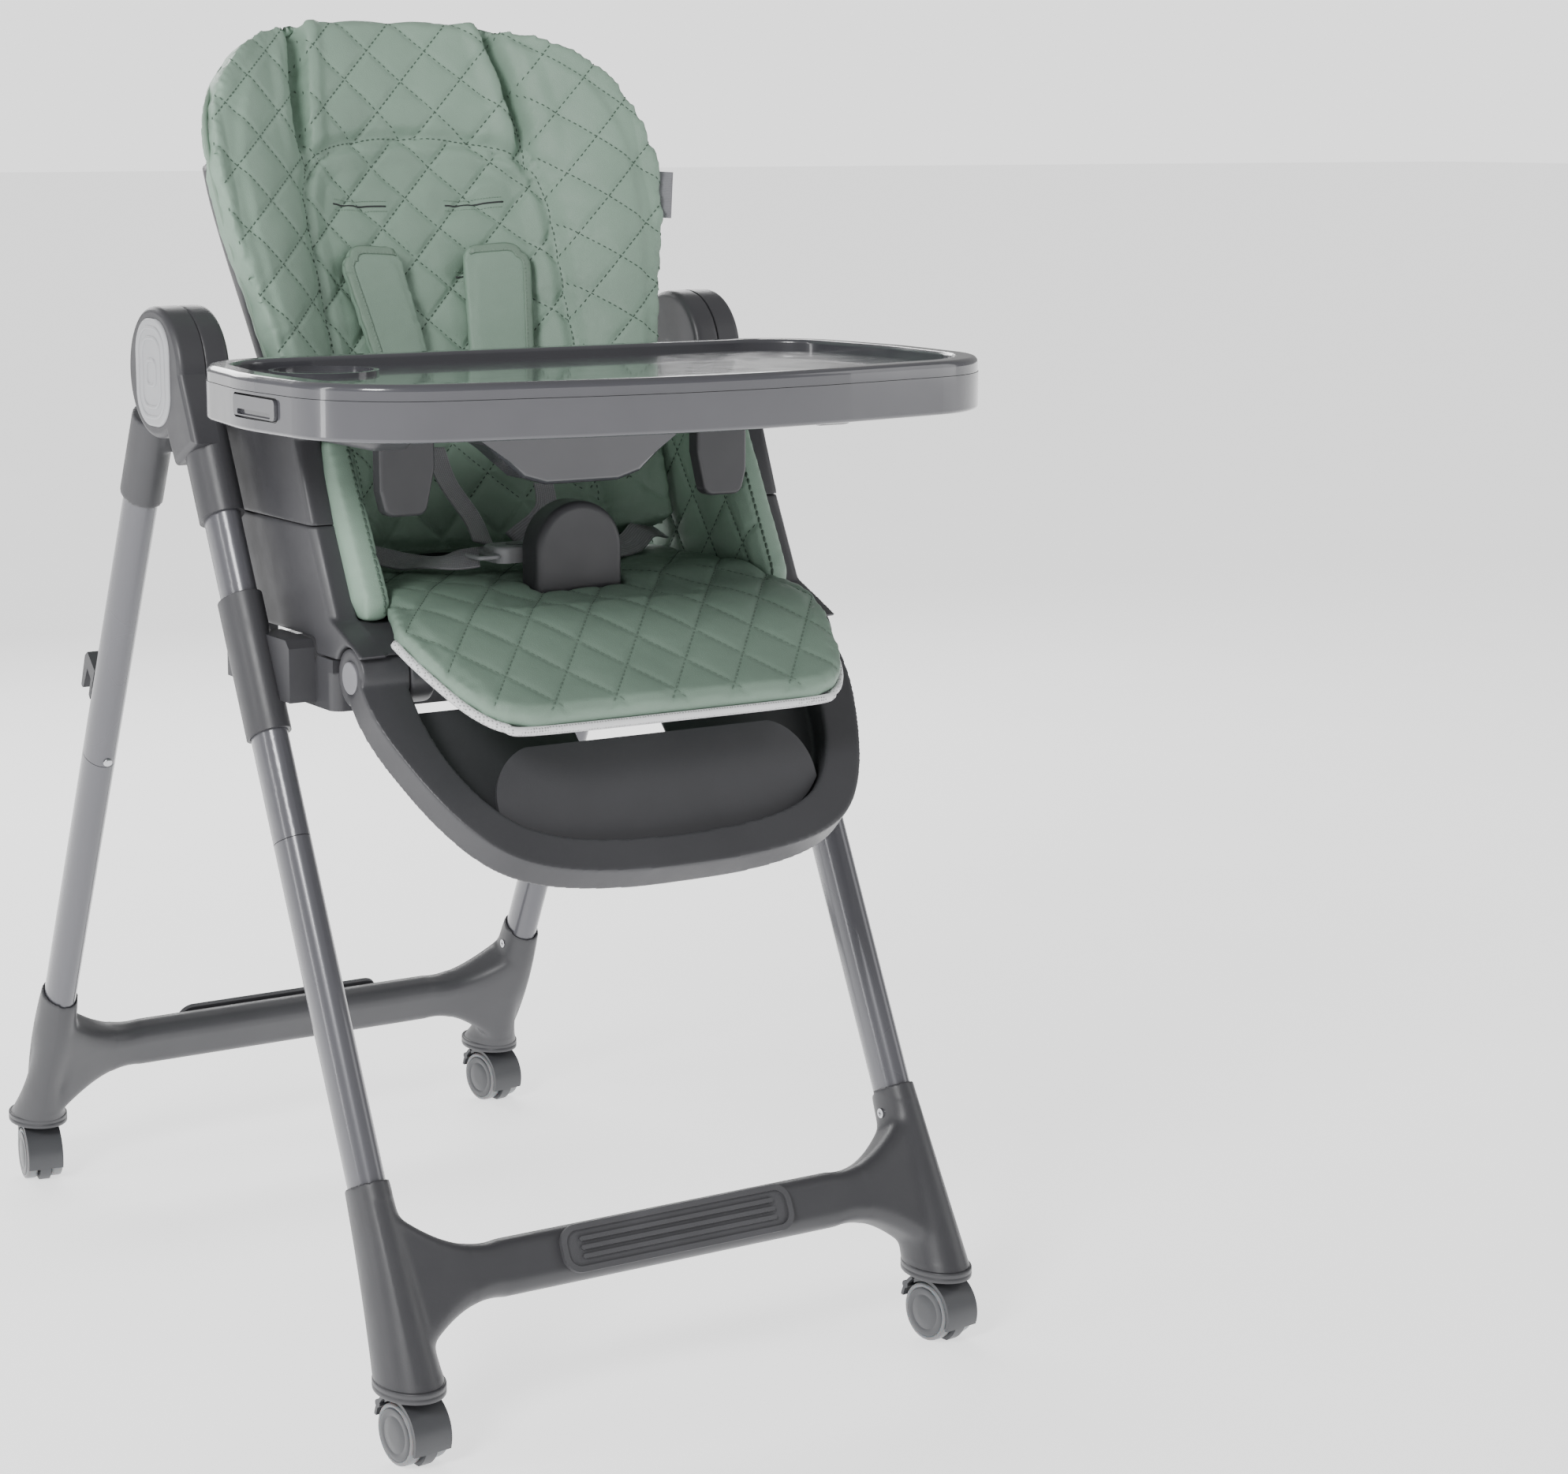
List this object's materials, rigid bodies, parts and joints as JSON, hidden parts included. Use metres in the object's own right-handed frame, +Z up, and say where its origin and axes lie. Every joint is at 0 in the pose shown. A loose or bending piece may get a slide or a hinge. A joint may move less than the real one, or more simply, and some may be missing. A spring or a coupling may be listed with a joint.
{
  "type": "baby high chair",
  "caption": "Folding baby high chair on locking casters, with height-sliding reclining quilted green seat, harness, legrest and removable tray.",
  "frame": {"origin": "on the floor at the centre of the chair's outline, between the legs", "axes": "+Z up, the chair and its sitter face -Y, +X is the sitter's left"},
  "size_m": [0.5918, 0.8682, 1.0592],
  "materials": {
    "frame_plastic": "moulded, fine matte grain",
    "step_tread": "ribbed tread",
    "tube_paint": "powder coat, satin gloss",
    "steel": "plated",
    "light_plastic": "fine matte",
    "button_plastic": "fine matte",
    "tray_gloss": "polished",
    "green_leather": "synthetic leather, quilted",
    "webbing": "satin woven webbing",
    "caster_plastic": "fine matte",
    "caster_wheel": "moulded wheel with a grey tread"
  },
  "bodies": {
    "front_frame": {"front_crossbar": "frame_plastic", "front_step_pad": "step_tread", "front_lower_tubes": "tube_paint", "front_upper_tubes": "tube_paint", "hub_outer_left": "frame_plastic", "hub_outer_right": "frame_plastic", "front_fasteners": "steel"},
    "fold_button_left": {"fold_button_left": "light_plastic"},
    "fold_button_right": {"fold_button_right": "light_plastic"},
    "rear_frame": {"rear_crossbar": "frame_plastic", "rear_step_pad": "step_tread", "rear_lower_tubes": "tube_paint", "rear_upper_tubes": "tube_paint", "hub_inner_left": "frame_plastic", "hub_inner_right": "frame_plastic", "rear_fasteners": "steel", "tray_hooks": "frame_plastic"},
    "seat_unit": {"carrier_frame": "frame_plastic", "height_sleeve_left": "frame_plastic", "height_sleeve_right": "frame_plastic", "seat_base": "frame_plastic", "armrest_left": "frame_plastic", "armrest_right": "frame_plastic", "crotch_post": "frame_plastic", "seat_pad": "green_leather", "side_pad_left": "green_leather", "side_pad_right": "green_leather", "harness_buckle": "light_plastic", "lower_harness_straps": "webbing", "legrest_pins": "button_plastic"},
    "height_button_left": {"height_button_left": "button_plastic"},
    "height_button_right": {"height_button_right": "button_plastic"},
    "backrest": {"back_shell": "frame_plastic", "back_pad": "green_leather", "shoulder_pad_left": "green_leather", "shoulder_pad_right": "green_leather", "shoulder_straps": "webbing"},
    "recline_lever": {"recline_lever": "frame_plastic"},
    "legrest": {"legrest_frame": "frame_plastic", "footrest": "frame_plastic", "calf_pad": "green_leather"},
    "tray": {"tray_base": "tray_gloss"},
    "tray_cover": {"tray_cover": "tray_gloss"},
    "tray_clip_left": {"tray_clip_left": "tray_gloss"},
    "tray_clip_right": {"tray_clip_right": "tray_gloss"},
    "tray_paddle_left": {"tray_paddle_left": "frame_plastic"},
    "tray_paddle_right": {"tray_paddle_right": "frame_plastic"},
    "buckle_button": {"buckle_button": "button_plastic"},
    "caster_front_left": {"caster_body_front_left": "caster_plastic"},
    "wheels_front_left": {"caster_wheels_front_left": "caster_wheel"},
    "brake_front_left": {"caster_brake_front_left": "caster_plastic"},
    "caster_front_right": {"caster_body_front_right": "caster_plastic"},
    "wheels_front_right": {"caster_wheels_front_right": "caster_wheel"},
    "brake_front_right": {"caster_brake_front_right": "caster_plastic"},
    "caster_rear_left": {"caster_body_rear_left": "caster_plastic"},
    "wheels_rear_left": {"caster_wheels_rear_left": "caster_wheel"},
    "brake_rear_left": {"caster_brake_rear_left": "caster_plastic"},
    "caster_rear_right": {"caster_body_rear_right": "caster_plastic"},
    "wheels_rear_right": {"caster_wheels_rear_right": "caster_wheel"},
    "brake_rear_right": {"caster_brake_rear_right": "caster_plastic"}
  },
  "joints": [
    {"name": "frame_fold", "type": "hinge", "parent": "front_frame", "child": "rear_frame", "pos_m": [0, 0.0081, 0.781], "axis": [-1, 0, 0], "range_deg": [0, 34]},
    {"name": "fold_button_left_press", "type": "slide", "parent": "front_frame", "child": "fold_button_left", "axis": [-1, 0, 0], "range_m": [0, 0.004], "stiffness_N_per_m": 600},
    {"name": "fold_button_right_press", "type": "slide", "parent": "front_frame", "child": "fold_button_right", "axis": [1, 0, 0], "range_m": [0, 0.004], "stiffness_N_per_m": 600},
    {"name": "seat_height", "type": "slide", "parent": "front_frame", "child": "seat_unit", "axis": [0, 0.4446, 0.8957], "range_m": [-0.084, 0.064]},
    {"name": "height_button_left_press", "type": "slide", "parent": "seat_unit", "child": "height_button_left", "axis": [-1, 0, 0], "range_m": [0, 0.005], "stiffness_N_per_m": 400},
    {"name": "height_button_right_press", "type": "slide", "parent": "seat_unit", "child": "height_button_right", "axis": [1, 0, 0], "range_m": [0, 0.005], "stiffness_N_per_m": 400},
    {"name": "back_recline", "type": "hinge", "parent": "seat_unit", "child": "backrest", "pos_m": [0, -0.0359, 0.618], "axis": [-1, 0, 0], "range_deg": [0, 28]},
    {"name": "recline_lever_squeeze", "type": "hinge", "parent": "backrest", "child": "recline_lever", "pos_m": [0, 0.09742, 0.90392], "axis": [-1, 0, 0], "range_deg": [0, 8], "stiffness_Nm_per_rad": 0.6},
    {"name": "legrest_tilt", "type": "hinge", "parent": "seat_unit", "child": "legrest", "pos_m": [0, -0.2399, 0.566], "axis": [1, 0, 0], "range_deg": [-10, 40]},
    {"name": "tray_slide", "type": "slide", "parent": "seat_unit", "child": "tray", "axis": [0, -1, 0], "range_m": [-0.02, 0.04]},
    {"name": "tray_cover_lift", "type": "slide", "parent": "tray", "child": "tray_cover", "axis": [0, 0, 1], "range_m": [0, 0.06]},
    {"name": "tray_clip_left_flex", "type": "hinge", "parent": "tray", "child": "tray_clip_left", "pos_m": [0.292, -0.2639, 0.7823], "axis": [0, -1, 0], "range_deg": [0, 7], "stiffness_Nm_per_rad": 0.1},
    {"name": "tray_paddle_left_squeeze", "type": "hinge", "parent": "tray", "child": "tray_paddle_left", "pos_m": [0.141, -0.1959, 0.767], "axis": [-1, 0, 0], "range_deg": [0, 10], "stiffness_Nm_per_rad": 1},
    {"name": "tray_clip_right_flex", "type": "hinge", "parent": "tray", "child": "tray_clip_right", "pos_m": [-0.292, -0.2639, 0.7823], "axis": [0, 1, 0], "range_deg": [0, 7], "stiffness_Nm_per_rad": 0.1},
    {"name": "tray_paddle_right_squeeze", "type": "hinge", "parent": "tray", "child": "tray_paddle_right", "pos_m": [-0.141, -0.1959, 0.767], "axis": [-1, 0, 0], "range_deg": [0, 10], "stiffness_Nm_per_rad": 1},
    {"name": "buckle_button_press", "type": "slide", "parent": "seat_unit", "child": "buckle_button", "axis": [0, 0, -1], "range_m": [0, 0.0022], "stiffness_N_per_m": 300},
    {"name": "caster_swivel_front_left", "type": "hinge", "parent": "front_frame", "child": "caster_front_left", "pos_m": [0.24, -0.3769, 0.06], "axis": [0, 0, 1], "continuous": true},
    {"name": "caster_roll_front_left", "type": "hinge", "parent": "caster_front_left", "child": "wheels_front_left", "pos_m": [0.24061, -0.38186, 0.024], "axis": [-0.9925, -0.1219, 0], "continuous": true},
    {"name": "caster_brake_front_left_press", "type": "hinge", "parent": "caster_front_left", "child": "brake_front_left", "pos_m": [0.23744, -0.35606, 0.04], "axis": [-0.9925, -0.1219, 0], "range_deg": [0, 8]},
    {"name": "caster_swivel_front_right", "type": "hinge", "parent": "front_frame", "child": "caster_front_right", "pos_m": [-0.24, -0.3769, 0.06], "axis": [0, 0, 1], "continuous": true},
    {"name": "caster_roll_front_right", "type": "hinge", "parent": "caster_front_right", "child": "wheels_front_right", "pos_m": [-0.23948, -0.38187, 0.024], "axis": [-0.9945, -0.1045, 0], "continuous": true},
    {"name": "caster_brake_front_right_press", "type": "hinge", "parent": "caster_front_right", "child": "brake_front_right", "pos_m": [-0.24219, -0.35602, 0.04], "axis": [-0.9945, -0.1045, 0], "range_deg": [0, 8]},
    {"name": "caster_swivel_rear_left", "type": "hinge", "parent": "rear_frame", "child": "caster_rear_left", "pos_m": [0.24, 0.4001, 0.06], "axis": [0, 0, 1], "continuous": true},
    {"name": "caster_roll_rear_left", "type": "hinge", "parent": "caster_rear_left", "child": "wheels_rear_left", "pos_m": [0.2407, 0.39515, 0.024], "axis": [-0.9903, -0.1392, 0], "continuous": true},
    {"name": "caster_brake_rear_left_press", "type": "hinge", "parent": "caster_rear_left", "child": "brake_rear_left", "pos_m": [0.23708, 0.4209, 0.04], "axis": [-0.9903, -0.1392, 0], "range_deg": [0, 8]},
    {"name": "caster_swivel_rear_right", "type": "hinge", "parent": "rear_frame", "child": "caster_rear_right", "pos_m": [-0.24, 0.4001, 0.06], "axis": [0, 0, 1], "continuous": true},
    {"name": "caster_roll_rear_right", "type": "hinge", "parent": "caster_rear_right", "child": "wheels_rear_right", "pos_m": [-0.24078, 0.39516, 0.024], "axis": [-0.9877, 0.1564, 0], "continuous": true},
    {"name": "caster_brake_rear_right_press", "type": "hinge", "parent": "caster_rear_right", "child": "brake_rear_right", "pos_m": [-0.23672, 0.42084, 0.04], "axis": [-0.9877, 0.1564, 0], "range_deg": [0, 8]}
  ]
}
